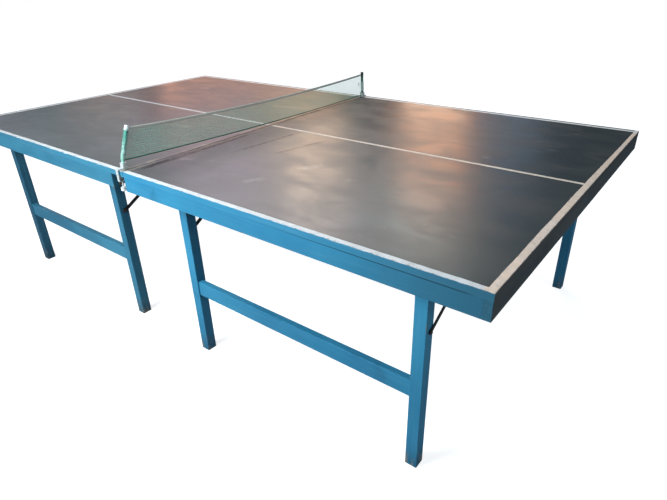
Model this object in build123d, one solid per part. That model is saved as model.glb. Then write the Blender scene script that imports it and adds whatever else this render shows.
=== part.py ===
from build123d import *
import os
from math import atan2, cos, degrees, hypot, radians, sin

# Ping pong table in two free-standing halves, with folding timber leg frames and a clamp-on net.
# Millimetres. The origin is on the floor under the middle of the table, +X runs along its length,
# +Y across it and +Z up. "Front" is the -Y side. The two halves butt together at X = 0.

# ---- driving dimensions: the playing surface ----
TABLE_LENGTH = 2740.0
TABLE_WIDTH = 1525.0
TABLE_HEIGHT = 760.0
BOARD_THICKNESS = 22.0
HALF_GAP = 1.0
BOARD_EDGE_RADIUS = 1.2

# ---- apron and battens under each board ----
RAIL_DEPTH = 53.0
RAIL_THICKNESS = 22.0
LEFT_JOINT_SETBACK = 80.0
RIGHT_JOINT_SETBACK = 2.0
BATTEN_THICKNESS = 18.0
HINGE_BATTEN_OUTER = 82.5
HINGE_BATTEN_WIDTH = 82.0
CENTRE_BATTEN_WIDTH = 45.0

# ---- leg frames ----
LEG_SIZE = 40.0
LEG_INSET = 88.5
LEG_EDGE_RADIUS = 2.0
RIGHT_LEG_CENTRES = (186.0, 1157.0)
LEFT_LEG_CENTRES = (-1165.0, -267.0)
NEST_OFFSET = 50.0
STRETCHER_HEIGHT = 60.0
STRETCHER_THICKNESS = 22.0
STRETCHER_MIDDLE_Z = 300.0
STRETCHER_SETBACK = 5.0
TENON_LENGTH = 22.0
TENON_THICKNESS = 12.0
TENON_HEIGHT = 40.0

# ---- butt hinges ----
LEAF_THICKNESS = 2.0
HINGE_OFFSET = 4.0
KNUCKLE_RADIUS = 3.7
KNUCKLE_CLEARANCE = 0.2
CENTRE_KNUCKLE = 12.0
HINGE_LENGTH = 36.0
UPPER_LEAF_WIDTH = 30.0
LOWER_LEAF_WIDTH = 45.0
LEAF_WEB = 0.5
PIN_RADIUS = 1.9
PIN_CLEARANCE = 0.05
PIN_HEAD_RADIUS = 2.8
PIN_HEAD_THICKNESS = 1.2
UPPER_LEAF_SCREW_INSET = 10.0
UPPER_LEAF_SCREW_SPACING = 20.0
LOWER_LEAF_SCREW_DROP = 24.0
LOWER_LEAF_SCREW_SPACING = 14.0

# ---- folding stays ----
STAY_BOLT_Z = 510.0
STAY_ANGLE = 30.0
LINK_THICKNESS = 3.0
LINK_WIDTH = 14.0
LINK_GAP = 4.0
COLLAR_THICKNESS = 1.2
PIVOT_RADIUS = 3.95
PIVOT_HOLE_RADIUS = 4.0
PIVOT_HEAD_RADIUS = 6.5
PIVOT_HEAD_HEIGHT = 2.4
FACE_CLEARANCE = 0.3
RIVET_RADIUS = 5.0
RIVET_HEAD_HEIGHT = 1.8
BOSS_RADIUS = 5.5
BOLT_DEPTH_IN_LEG = 30.0
BRACKET_WIDTH = 26.0
BRACKET_FOOT = 24.0
BRACKET_BELOW_PIVOT = 10.0
BRACKET_SCREW_SPACING = 14.0

# ---- wood screws ----
SCREW_RADIUS = 2.0
SCREW_HEAD_RADIUS = 4.0
SCREW_HEAD_HEIGHT = 2.0
SCREW_TIP_RADIUS = 0.4
SCREW_TIP_LENGTH = 3.0
SCREW_BITE = 14.0
UPPER_LEAF_SCREW = 16.0
LOWER_LEAF_SCREW = 22.0
BATTEN_SCREW_COUNT = 5
BATTEN_SCREW_START = 60.0
BATTEN_SCREW_STOP = 40.0

# ---- net set, which stands a little askew because its two clamps sit at different X ----
FRONT_NET_X = -25.0
REAR_NET_X = -11.0
CLAMP_PLATE_WIDTH = 20.0
CLAMP_ARM_WIDTH = 13.0
CLAMP_METAL = 4.0
CLAMP_EDGE_RADIUS = 1.2
CLAMP_EDGE_GAP = 2.5
UPPER_JAW_REACH = 38.0
LOWER_JAW_REACH = 22.0
LOWER_JAW_TOP_Z = 722.0
SOCKET_SIZE = 20.0
SOCKET_HEIGHT = 18.0
SOCKET_EDGE_RADIUS = 4.0
SOCKET_CLEARANCE = 0.05
POST_RADIUS = 6.0
FRONT_POST_Y = -737.0
REAR_POST_Y = 744.0
POST_FLOOR_Z = 766.0
POST_BEND_Z = 790.0
POST_BEND_RADIUS = 40.0
CAP_RADIUS = 8.0
CAP_HEIGHT = 18.0
CAP_OVERLAP = 12.0
CAP_EDGE_RADIUS = 3.0
SCREW_Y = 755.5
THREAD_RADIUS = 3.0
THREAD_HOLE_RADIUS = 3.08
PAD_RADIUS = 6.0
PAD_HEIGHT = 4.0
KNOB_RADIUS = 10.5
KNOB_HEIGHT = 12.0
KNOB_TOP_Z = 694.0
KNOB_LOBES = 6
KNOB_FLUTE_RADIUS = 3.0
KNOB_FLUTE_OFFSET = 1.6
THREAD_IN_KNOB = 9.0
TAPE_HEIGHT = 10.0
TAPE_THICKNESS = 3.0
CLOTH_THICKNESS = 1.2
BOTTOM_CORD = 5.0

# Tops of the two leaning posts and the four corners of the hung net, as (Y, Z).
FRONT_POST_TOP = (-695.0, 901.0)
REAR_POST_TOP = (741.0, 884.0)
NET_FRONT_TOP = (-686.0, 899.0)
NET_FRONT_BOTTOM = (-726.0, 791.0)
NET_REAR_TOP = (731.0, 881.0)
NET_REAR_BOTTOM = (731.0, 771.0)
TOP_SAG = 19.0
BOTTOM_SAG = 11.0

# Pieces of a leg frame that keep their own names as nodes.
FRAME_PARTS = (
    "stretcher",
    "hinge_lower_leaves",
    "leg_fixings",
    "stay_lower_links",
    "stay_upper_links",
)

# ---- levels and lines worked out from the sizes above ----
HALF_LENGTH = TABLE_LENGTH / 2
HALF_WIDTH = TABLE_WIDTH / 2
BOARD_BOTTOM = TABLE_HEIGHT - BOARD_THICKNESS
RAIL_BOTTOM = BOARD_BOTTOM - RAIL_DEPTH
BATTEN_BOTTOM = BOARD_BOTTOM - BATTEN_THICKNESS
LEG_OUTER_Y = -(HALF_WIDTH - LEG_INSET)
LEG_INNER_Y = LEG_OUTER_Y + LEG_SIZE
LEG_MIDDLE_Y = (LEG_OUTER_Y + LEG_INNER_Y) / 2
HINGE_Y = LEG_INNER_Y + HINGE_OFFSET
HINGE_Z = BATTEN_BOTTOM - HINGE_OFFSET

# The stay is straight when the leg stands, and lies flat beside the leg when it is folded,
# so both of its pivots are at the height where a folded leg's middle line ends up.
STAY_TOP_Z = HINGE_Z + LEG_MIDDLE_Y - HINGE_Y
STAY_RISE = STAY_TOP_Z - STAY_BOLT_Z
STAY_TOP_Y = LEG_MIDDLE_Y + STAY_RISE / sin(radians(STAY_ANGLE)) * cos(radians(STAY_ANGLE))
STAY_OPEN_LENGTH = hypot(STAY_TOP_Y - LEG_MIDDLE_Y, STAY_RISE)
FOLDED_BOLT_Y = HINGE_Y + HINGE_Z - STAY_BOLT_Z
STAY_FOLDED_LENGTH = STAY_TOP_Y - FOLDED_BOLT_Y
UPPER_LINK_LENGTH = (STAY_OPEN_LENGTH + STAY_FOLDED_LENGTH) / 2
LOWER_LINK_LENGTH = (STAY_OPEN_LENGTH - STAY_FOLDED_LENGTH) / 2

# Distances out from the side of the leg to each layer of a stay.
LOWER_LINK_NEAR = COLLAR_THICKNESS + FACE_CLEARANCE
LOWER_LINK_FAR = LOWER_LINK_NEAR + LINK_THICKNESS
UPPER_LINK_NEAR = LOWER_LINK_FAR + LINK_GAP
UPPER_LINK_FAR = UPPER_LINK_NEAR + LINK_THICKNESS
BRACKET_NEAR = UPPER_LINK_FAR + FACE_CLEARANCE
BRACKET_FAR = BRACKET_NEAR + LINK_THICKNESS

# The net's plane, from one post to the other.
NET_MIDDLE_X = (FRONT_NET_X + REAR_NET_X) / 2
NET_SKEW = degrees(atan2(REAR_NET_X - FRONT_NET_X, REAR_POST_Y - FRONT_POST_Y))

# Round solids that stand on the XY plane.
ON_BASE = (Align.CENTER, Align.CENTER, Align.MIN)


def block(x, y, z):
    """Rectangular solid from three (low, high) pairs, given in either order."""
    size = [abs(pair[1] - pair[0]) for pair in (x, y, z)]
    middle = [(pair[0] + pair[1]) / 2 for pair in (x, y, z)]
    return Pos(*middle) * Box(*size)


def eased(solid, radius, axis):
    """The solid with its edges along one axis rounded."""
    return fillet(solid.edges().filter_by(axis), radius)


def rod_x(radius, x, y, z):
    """Round bar along X between x[0] and x[1]."""
    return Pos((x[0] + x[1]) / 2, y, z) * Rot(0, 90, 0) * Cylinder(radius, abs(x[1] - x[0]))


def wood_screw(length):
    """Countersunk screw with its flat head on the XY plane and its tip up at Z = length."""
    shank_length = length - SCREW_TIP_LENGTH
    head = Cone(SCREW_HEAD_RADIUS, SCREW_RADIUS, SCREW_HEAD_HEIGHT, align=ON_BASE)
    shank = Cylinder(SCREW_RADIUS, shank_length, align=ON_BASE)
    tip = Cone(SCREW_RADIUS, SCREW_TIP_RADIUS, SCREW_TIP_LENGTH, align=ON_BASE)
    return head + shank + Pos(0, 0, shank_length) * tip


def group(solids):
    """Several separate solids kept together as one node."""
    return Compound(children=[solid for shape in solids for solid in shape.solids()])


def cut(solid, tools):
    """The solid with every tool taken out of it."""
    for tool in tools:
        solid = solid - tool
    return solid


# ---- one table half ----


def top_board(side):
    """Chipboard top with a softened upper rim."""
    x = (side * HALF_GAP / 2, side * HALF_LENGTH)
    board = block(x, (-HALF_WIDTH, HALF_WIDTH), (BOARD_BOTTOM, TABLE_HEIGHT))
    rim = board.edges().group_by(Axis.Z)[-1]
    return fillet(rim, BOARD_EDGE_RADIUS)


def rails(side, setback):
    """Front, rear, end and inner boards of the apron."""
    z = (RAIL_BOTTOM, BOARD_BOTTOM)
    inner = HALF_WIDTH - RAIL_THICKNESS
    long_x = (side * setback, side * HALF_LENGTH)
    long_rail = eased(block(long_x, (-HALF_WIDTH, -inner), z), BOARD_EDGE_RADIUS, Axis.Z)
    end_x = (side * (HALF_LENGTH - RAIL_THICKNESS), side * HALF_LENGTH)
    joint_x = (side * setback, side * (setback + RAIL_THICKNESS))
    notch = [block(end_x, pair, z) for pair in ((-HALF_WIDTH, -inner), (inner, HALF_WIDTH))]
    return {
        "front_rail": long_rail - notch[0],
        "rear_rail": mirror(long_rail, Plane.XZ) - notch[1],
        "end_rail": eased(block(end_x, (-HALF_WIDTH, HALF_WIDTH), z), BOARD_EDGE_RADIUS, Axis.Z),
        "inner_rail": block(joint_x, (-inner, inner), z),
    }


def battens(side, setback):
    """Two battens that carry the hinges, and one down the middle."""
    x = (side * (setback + RAIL_THICKNESS), side * (HALF_LENGTH - RAIL_THICKNESS))
    z = (BATTEN_BOTTOM, BOARD_BOTTOM)
    outer = HALF_WIDTH - HINGE_BATTEN_OUTER
    inner = outer - HINGE_BATTEN_WIDTH
    hinge_battens = [block(x, (-outer, -inner), z), block(x, (inner, outer), z)]
    centre = block(x, (-CENTRE_BATTEN_WIDTH / 2, CENTRE_BATTEN_WIDTH / 2), z)
    return hinge_battens, centre


def batten_screws(side, setback):
    """Screws up through the battens into the board, on three lines."""
    start = setback + RAIL_THICKNESS + BATTEN_SCREW_START
    stop = HALF_LENGTH - RAIL_THICKNESS - BATTEN_SCREW_STOP
    pitch = (stop - start) / (BATTEN_SCREW_COUNT - 1)
    line_y = HALF_WIDTH - HINGE_BATTEN_OUTER - HINGE_BATTEN_WIDTH / 2
    screw = wood_screw(BATTEN_THICKNESS + SCREW_BITE)
    screws = []
    for i in range(BATTEN_SCREW_COUNT):
        x = side * (start + i * pitch)
        screws += [Pos(x, y, BATTEN_BOTTOM) * screw for y in (-line_y, 0, line_y)]
    return screws


# ---- one leg frame, drawn as a front frame; each stay is drawn for the -X side of its leg ----


def timber_leg(centre):
    """Square leg from the floor to the batten."""
    half = LEG_SIZE / 2
    leg = block((centre - half, centre + half), (LEG_OUTER_Y, LEG_INNER_Y), (0, BATTEN_BOTTOM))
    return eased(leg, LEG_EDGE_RADIUS, Axis.Z)


def stretcher(low_centre, high_centre):
    """Rail between the two legs with a tenon at each end."""
    x = (low_centre + LEG_SIZE / 2, high_centre - LEG_SIZE / 2)
    y = (LEG_OUTER_Y + STRETCHER_SETBACK, LEG_OUTER_Y + STRETCHER_SETBACK + STRETCHER_THICKNESS)
    z = (STRETCHER_MIDDLE_Z - STRETCHER_HEIGHT / 2, STRETCHER_MIDDLE_Z + STRETCHER_HEIGHT / 2)
    body = eased(block(x, y, z), BOARD_EDGE_RADIUS, Axis.X)
    middle_y = sum(y) / 2
    tenon_y = (middle_y - TENON_THICKNESS / 2, middle_y + TENON_THICKNESS / 2)
    tenon_z = (STRETCHER_MIDDLE_Z - TENON_HEIGHT / 2, STRETCHER_MIDDLE_Z + TENON_HEIGHT / 2)
    tenon = block((x[0] - TENON_LENGTH, x[1] + TENON_LENGTH), tenon_y, tenon_z)
    return body + tenon


def knuckle(x):
    """Rolled part of a hinge leaf, solid until the pin hole is made."""
    return rod_x(KNUCKLE_RADIUS, x, HINGE_Y, HINGE_Z)


def pin_hole(centre):
    """The hole along a hinge for its pin."""
    reach = HINGE_LENGTH / 2 + 1
    return rod_x(PIN_RADIUS + PIN_CLEARANCE, (centre - reach, centre + reach), HINGE_Y, HINGE_Z)


def outer_knuckles(centre):
    """The X ranges of the two end knuckles."""
    inside = CENTRE_KNUCKLE / 2 + KNUCKLE_CLEARANCE
    outside = HINGE_LENGTH / 2
    return [(centre - outside, centre - inside), (centre + inside, centre + outside)]


def upper_leaf(centre):
    """Leaf on the batten, with the two end knuckles."""
    half = HINGE_LENGTH / 2
    top = BATTEN_BOTTOM
    plate_y = (HINGE_Y + HINGE_OFFSET, HINGE_Y + UPPER_LEAF_WIDTH)
    leaf = block((centre - half, centre + half), plate_y, (top - LEAF_THICKNESS, top))
    for x in outer_knuckles(centre):
        web_z = (top - LEAF_THICKNESS, HINGE_Z + KNUCKLE_RADIUS)
        leaf = leaf + knuckle(x) + block(x, (HINGE_Y, plate_y[0] + LEAF_WEB), web_z)
    return leaf - pin_hole(centre)


def lower_leaf(centre):
    """Leaf on the leg, with the middle knuckle."""
    half = HINGE_LENGTH / 2
    top = HINGE_Z - HINGE_OFFSET
    face_y = (LEG_INNER_Y, LEG_INNER_Y + LEAF_THICKNESS)
    leaf = block((centre - half, centre + half), face_y, (top - LOWER_LEAF_WIDTH, top))
    x = (centre - CENTRE_KNUCKLE / 2, centre + CENTRE_KNUCKLE / 2)
    web_y = (HINGE_Y - KNUCKLE_RADIUS, LEG_INNER_Y + LEAF_THICKNESS)
    leaf = leaf + knuckle(x) + block(x, web_y, (top - LEAF_WEB, HINGE_Z))
    return leaf - pin_hole(centre)


def hinge_pin(centre):
    """Pin with a small head at each end."""
    inside = HINGE_LENGTH / 2 + FACE_CLEARANCE
    outside = inside + PIN_HEAD_THICKNESS
    pin = rod_x(PIN_RADIUS, (centre - outside, centre + outside), HINGE_Y, HINGE_Z)
    for end in (-1, 1):
        head_x = (centre + end * inside, centre + end * outside)
        pin = pin + rod_x(PIN_HEAD_RADIUS, head_x, HINGE_Y, HINGE_Z)
    return pin


def upper_leaf_screws(centre):
    """Two screws up into the batten."""
    y = HINGE_Y + UPPER_LEAF_WIDTH - UPPER_LEAF_SCREW_INSET
    z = BATTEN_BOTTOM - LEAF_THICKNESS
    reach = UPPER_LEAF_SCREW_SPACING / 2
    return [Pos(centre + dx, y, z) * wood_screw(UPPER_LEAF_SCREW) for dx in (-reach, reach)]


def lower_leaf_screws(centre):
    """Two screws into the leg, on a slant so that they don't share a line of the grain."""
    place = Pos(centre, LEG_INNER_Y + LEAF_THICKNESS, HINGE_Z - LOWER_LEAF_SCREW_DROP)
    screw = Rot(90, 0, 0) * wood_screw(LOWER_LEAF_SCREW)
    reach = LOWER_LEAF_SCREW_SPACING / 2
    return [place * Pos(-reach, 0, 0) * screw, place * Pos(reach, 0, -2 * reach) * screw]


def stay_layer(centre, near, far):
    """X range of one layer of a stay, out from the -X side of a leg."""
    face = centre - LEG_SIZE / 2
    return (face - far, face - near)


def link(x, start, length, angle):
    """Flat bar with round ends, from start = (Y, Z) along an angle in the YZ plane."""
    end = (start[0] + length * cos(radians(angle)), start[1] + length * sin(radians(angle)))
    middle = ((start[0] + end[0]) / 2, (start[1] + end[1]) / 2)
    bar = Pos(sum(x) / 2, *middle) * Rot(angle, 0, 0) * Box(x[1] - x[0], length, LINK_WIDTH)
    return bar + rod_x(LINK_WIDTH / 2, x, *start) + rod_x(LINK_WIDTH / 2, x, *end), end


def upper_link(centre):
    """Link on the bracket, with the knuckle rivet's outer head."""
    x = stay_layer(centre, UPPER_LINK_NEAR, UPPER_LINK_FAR)
    start = (STAY_TOP_Y, STAY_TOP_Z)
    bar, knee = link(x, start, UPPER_LINK_LENGTH, 180 + STAY_ANGLE)
    head_x = (x[0] - RIVET_HEAD_HEIGHT, x[0])
    return bar + rod_x(RIVET_RADIUS, head_x, *knee) - rod_x(PIVOT_HOLE_RADIUS, x, *start)


def lower_link(centre):
    """Link on the leg, with the knuckle's spacer boss."""
    x = stay_layer(centre, LOWER_LINK_NEAR, LOWER_LINK_FAR)
    start = (LEG_MIDDLE_Y, STAY_BOLT_Z)
    bar, knee = link(x, start, LOWER_LINK_LENGTH, STAY_ANGLE)
    boss_x = (x[0] - LINK_GAP + FACE_CLEARANCE, x[0])
    return bar + rod_x(BOSS_RADIUS, boss_x, *knee) - rod_x(PIVOT_HOLE_RADIUS, x, *start)


def stay_bolt(centre):
    """Shouldered bolt through the lower link into the side of the leg."""
    face = centre - LEG_SIZE / 2
    head_near = LOWER_LINK_FAR + FACE_CLEARANCE
    y, z = LEG_MIDDLE_Y, STAY_BOLT_Z
    shank = rod_x(PIVOT_RADIUS, (face - head_near, face + BOLT_DEPTH_IN_LEG), y, z)
    collar = rod_x(PIVOT_HEAD_RADIUS + 1, (face - COLLAR_THICKNESS, face), y, z)
    head = rod_x(PIVOT_HEAD_RADIUS, (face - head_near - PIVOT_HEAD_HEIGHT, face - head_near), y, z)
    return shank + collar + head


def stay_bracket(centre):
    """Angle plate under the board, with the pivot that carries the upper link."""
    plate_x = stay_layer(centre, BRACKET_NEAR, BRACKET_FAR)
    foot_x = (plate_x[0] - BRACKET_FOOT, plate_x[1])
    y = (STAY_TOP_Y - BRACKET_WIDTH / 2, STAY_TOP_Y + BRACKET_WIDTH / 2)
    plate = block(plate_x, y, (STAY_TOP_Z - BRACKET_BELOW_PIVOT, BOARD_BOTTOM))
    foot = block(foot_x, y, (BOARD_BOTTOM - LINK_THICKNESS, BOARD_BOTTOM))
    link_x = stay_layer(centre, UPPER_LINK_NEAR, UPPER_LINK_FAR)
    pin_x = (plate_x[1], link_x[1] + FACE_CLEARANCE)
    pin = rod_x(PIVOT_RADIUS, pin_x, STAY_TOP_Y, STAY_TOP_Z)
    head_x = (pin_x[1], pin_x[1] + PIVOT_HEAD_HEIGHT)
    head = rod_x(PIVOT_HEAD_RADIUS, head_x, STAY_TOP_Y, STAY_TOP_Z)
    return plate + foot + pin + head


def bracket_screws(centre):
    """Two screws up through the bracket's foot into the board."""
    plate_x = stay_layer(centre, BRACKET_NEAR, BRACKET_FAR)
    x = plate_x[0] - BRACKET_FOOT / 2
    z = BOARD_BOTTOM - LINK_THICKNESS
    screw = wood_screw(LINK_THICKNESS + SCREW_BITE)
    reach = BRACKET_SCREW_SPACING / 2
    return [Pos(x, STAY_TOP_Y + dy, z) * screw for dy in (-reach, reach)]


def outward(solid, centre, side):
    """A stay's piece put on one side of its leg, where -1 is the side it is drawn on."""
    return solid if side < 0 else mirror(solid, Plane.YZ.offset(centre))


def leg_frame(centres, stay_centres):
    """Every piece of one folding frame, and of what holds it to the table, as lists of solids."""
    low, high = sorted(centres)
    outer_sides = {low: -1, high: 1}
    cross = stretcher(low, high)
    frame = {
        "stretcher": [cross],
        "hinge_lower_leaves": [],
        "leg_fixings": [],
        "stay_lower_links": [outward(lower_link(c), c, outer_sides[c]) for c in stay_centres],
        "stay_upper_links": [outward(upper_link(c), c, outer_sides[c]) for c in stay_centres],
        "upper_leaves": [],
        "pins": [hinge_pin(c) for c in (low, high)],
        "brackets": [],
        "screws_above": [],
    }
    for name, centre in (("low_leg", low), ("high_leg", high)):
        screws = lower_leaf_screws(centre)
        bolt = outward(stay_bolt(centre), centre, outer_sides[centre])
        bolts = [bolt] if centre in stay_centres else []
        frame[name] = [cut(timber_leg(centre), [cross] + screws + bolts)]
        frame["hinge_lower_leaves"].append(cut(lower_leaf(centre), screws))
        frame["leg_fixings"] += screws + bolts
        screws = upper_leaf_screws(centre)
        frame["upper_leaves"].append(cut(upper_leaf(centre), screws))
        frame["screws_above"] += screws
    for centre in stay_centres:
        side = outer_sides[centre]
        screws = [outward(screw, centre, side) for screw in bracket_screws(centre)]
        bracket = outward(stay_bracket(centre), centre, side)
        frame["brackets"].append(cut(bracket, screws))
        frame["screws_above"] += screws
    return frame


def turned(frame):
    """A front frame turned half a turn about Z, which makes it a rear frame."""
    return {name: [Rot(0, 0, 180) * solid for solid in solids] for name, solids in frame.items()}


# ---- net set: the front end is at -Y (end = -1), the rear end at +Y (end = 1), drawn at X = 0 ----


def net_clamp(end, post_y):
    """C-shaped clamp over the board's edge with a socket for the post on top."""
    plate_x = (-CLAMP_PLATE_WIDTH / 2, CLAMP_PLATE_WIDTH / 2)
    arm_x = (-CLAMP_ARM_WIDTH / 2, CLAMP_ARM_WIDTH / 2)
    arm_y = (end * (HALF_WIDTH + CLAMP_EDGE_GAP), end * (HALF_WIDTH + CLAMP_EDGE_GAP + CLAMP_METAL))
    top = TABLE_HEIGHT + CLAMP_METAL
    low = LOWER_JAW_TOP_Z - CLAMP_METAL
    lower_y = (end * (HALF_WIDTH - LOWER_JAW_REACH), arm_y[1])
    arm = block(arm_x, arm_y, (low, top)) + block(arm_x, lower_y, (low, LOWER_JAW_TOP_Z))
    plate_y = (end * (HALF_WIDTH - UPPER_JAW_REACH), arm_y[1])
    plate = eased(block(plate_x, plate_y, (TABLE_HEIGHT, top)), CLAMP_EDGE_RADIUS, Axis.Z)
    socket = Box(SOCKET_SIZE, SOCKET_SIZE, SOCKET_HEIGHT, align=ON_BASE)
    socket = Pos(0, post_y, top) * eased(socket, SOCKET_EDGE_RADIUS, Axis.Z)
    body = eased(arm, CLAMP_EDGE_RADIUS, Axis.X) + plate + socket
    seat = Cylinder(POST_RADIUS + SOCKET_CLEARANCE, SOCKET_HEIGHT, align=ON_BASE)
    body -= Pos(0, post_y, POST_FLOOR_Z) * seat
    thread = Cylinder(THREAD_HOLE_RADIUS, 2 * CLAMP_METAL)
    return body - Pos(0, end * SCREW_Y, (low + LOWER_JAW_TOP_Z) / 2) * thread


def clamp_screw(end):
    """Upright screw with a pressure pad on top and a lobed hand knob below, kept as two solids."""
    pad_z = BOARD_BOTTOM - PAD_HEIGHT
    thread_z = KNOB_TOP_Z - THREAD_IN_KNOB
    axis = Pos(0, end * SCREW_Y, 0)
    thread = Pos(0, 0, thread_z) * Cylinder(THREAD_RADIUS, pad_z - thread_z, align=ON_BASE)
    screw = thread + Pos(0, 0, pad_z) * Cylinder(PAD_RADIUS, PAD_HEIGHT, align=ON_BASE)
    knob = Cylinder(KNOB_RADIUS, KNOB_HEIGHT, align=ON_BASE)
    flute = Cylinder(KNOB_FLUTE_RADIUS, KNOB_HEIGHT, align=ON_BASE)
    flute = Pos(KNOB_RADIUS + KNOB_FLUTE_OFFSET, 0, 0) * flute
    for i in range(KNOB_LOBES):
        knob -= Rot(0, 0, i * 360 / KNOB_LOBES) * flute
    knob = Pos(0, 0, KNOB_TOP_Z - KNOB_HEIGHT) * knob - thread
    return [axis * screw, axis * knob]


def post_line(post_y, top):
    """Centre line of a post: upright in its socket, then leaning to its top."""
    foot = (0, post_y, POST_FLOOR_Z)
    bend = (0, post_y, POST_BEND_Z)
    return FilletPolyline(foot, bend, (0, *top), radius=POST_BEND_RADIUS)


def net_post(post_y, top):
    """Round coated post."""
    line = post_line(post_y, top)
    section = Plane(line @ 0, z_dir=line % 0) * Circle(POST_RADIUS)
    return sweep(section, path=line)


def post_cap(post_y, top):
    """Cap over the leaning top of a post, closed at its end."""
    line = post_line(post_y, top)
    place = Plane(line @ 1, z_dir=line % 1).location
    cap = Cylinder(CAP_RADIUS, CAP_HEIGHT, align=ON_BASE)
    cap = fillet(cap.edges().sort_by(Axis.Z)[-1], CAP_EDGE_RADIUS)
    cap -= Cylinder(POST_RADIUS, CAP_OVERLAP, align=ON_BASE)
    return place * Pos(0, 0, -CAP_OVERLAP) * cap


def sagging(start, end, sag, drop):
    """Curve between two (Y, Z) points that hangs below their chord by sag, lowered by drop."""
    middle = ((start[0] + end[0]) / 2, (start[1] + end[1]) / 2 - 2 * sag)
    points = [(0, y, z - drop) for y, z in (start, middle, end)]
    return Bezier(*points)


def strip(top_edge, bottom_edge, thickness):
    """Thin upright solid between two curves, centred on the net's plane."""
    sides = [Line(top_edge @ t, bottom_edge @ t) for t in (0, 1)]
    face = make_face([top_edge, bottom_edge] + sides)
    return Pos(-thickness / 2, 0, 0) * extrude(face, thickness, dir=(1, 0, 0))


def net_parts():
    """Cloth, top tape and bottom cord, one above the other, turned into the net's own plane."""
    top = sagging(NET_FRONT_TOP, NET_REAR_TOP, TOP_SAG, 0)
    tape_bottom = sagging(NET_FRONT_TOP, NET_REAR_TOP, TOP_SAG, TAPE_HEIGHT)
    cord_top = sagging(NET_FRONT_BOTTOM, NET_REAR_BOTTOM, BOTTOM_SAG, 0)
    cord_bottom = sagging(NET_FRONT_BOTTOM, NET_REAR_BOTTOM, BOTTOM_SAG, BOTTOM_CORD)
    hung = Pos(NET_MIDDLE_X, 0, 0) * Rot(0, 0, -NET_SKEW)
    return {
        "net_top_tape": [hung * strip(top, tape_bottom, TAPE_THICKNESS)],
        "net_cloth": [hung * strip(tape_bottom, cord_top, CLOTH_THICKNESS)],
        "net_bottom_cord": [hung * strip(cord_top, cord_bottom, BOTTOM_CORD)],
    }


# ---- the whole table ----


def table_half(name, side, setback, centres, front_stays):
    """Nodes of one half, with its two leg frames."""
    nodes = {name + "_top_board": [top_board(side)]}
    for part, solid in rails(side, setback).items():
        nodes[name + "_" + part] = [solid]
    hinge_battens, centre_batten = battens(side, setback)
    rear_centres = [-(c + NEST_OFFSET) for c in centres]
    front = leg_frame(centres, front_stays)
    rear = turned(leg_frame(rear_centres, rear_centres))
    above = {"hinge_upper_leaves": "upper_leaves", "hinge_pins": "pins", "stay_brackets": "brackets"}
    for node, key in above.items():
        nodes[name + "_" + node] = front[key] + rear[key]
    screws = batten_screws(side, setback) + front["screws_above"] + rear["screws_above"]
    nodes[name + "_top_board"] = [cut(nodes[name + "_top_board"][0], screws)]
    nodes[name + "_hinge_battens"] = [cut(batten, screws) for batten in hinge_battens]
    nodes[name + "_centre_batten"] = [cut(centre_batten, screws)]
    nodes[name + "_screws"] = screws
    for place, frame in (("front", front), ("rear", rear)):
        prefix = name + "_" + place + "_"
        low_is_joint = (side > 0) == (place == "front")
        nodes[prefix + "joint_leg"] = frame["low_leg" if low_is_joint else "high_leg"]
        nodes[prefix + "end_leg"] = frame["high_leg" if low_is_joint else "low_leg"]
        for part in FRAME_PARTS:
            nodes[prefix + part] = frame[part]
    return nodes


def net_set():
    """Nodes of the net, its posts and its clamps."""
    nodes = net_parts()
    caps = []
    ends = (
        ("front", -1, FRONT_NET_X, FRONT_POST_Y, FRONT_POST_TOP),
        ("rear", 1, REAR_NET_X, REAR_POST_Y, REAR_POST_TOP),
    )
    for place, end, x, post_y, top in ends:
        at_x = Pos(x, 0, 0)
        post = net_post(post_y, top)
        nodes[place + "_post"] = [at_x * post]
        nodes[place + "_clamp"] = [at_x * net_clamp(end, post_y)]
        nodes[place + "_clamp_screw"] = [at_x * solid for solid in clamp_screw(end)]
        caps.append(at_x * (post_cap(post_y, top) - post))
    nodes["post_caps"] = caps
    return nodes


def main():
    os.makedirs("parts", exist_ok=True)
    nodes = table_half("left", -1, LEFT_JOINT_SETBACK, LEFT_LEG_CENTRES, LEFT_LEG_CENTRES[1:])
    nodes.update(table_half("right", 1, RIGHT_JOINT_SETBACK, RIGHT_LEG_CENTRES, RIGHT_LEG_CENTRES))
    nodes.update(net_set())
    for name, solids in nodes.items():
        export_step(group(solids), "parts/" + name + ".step")
    print(len(nodes), "nodes")
    print("hinge axis Y, Z:", HINGE_Y, HINGE_Z)
    print("stay top pivot Y, Z:", round(STAY_TOP_Y, 3), STAY_TOP_Z)
    print("stay links:", round(UPPER_LINK_LENGTH, 2), round(LOWER_LINK_LENGTH, 2))


main()
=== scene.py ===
import math
import random

import bpy
from mathutils import Matrix, Vector, noise


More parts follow.
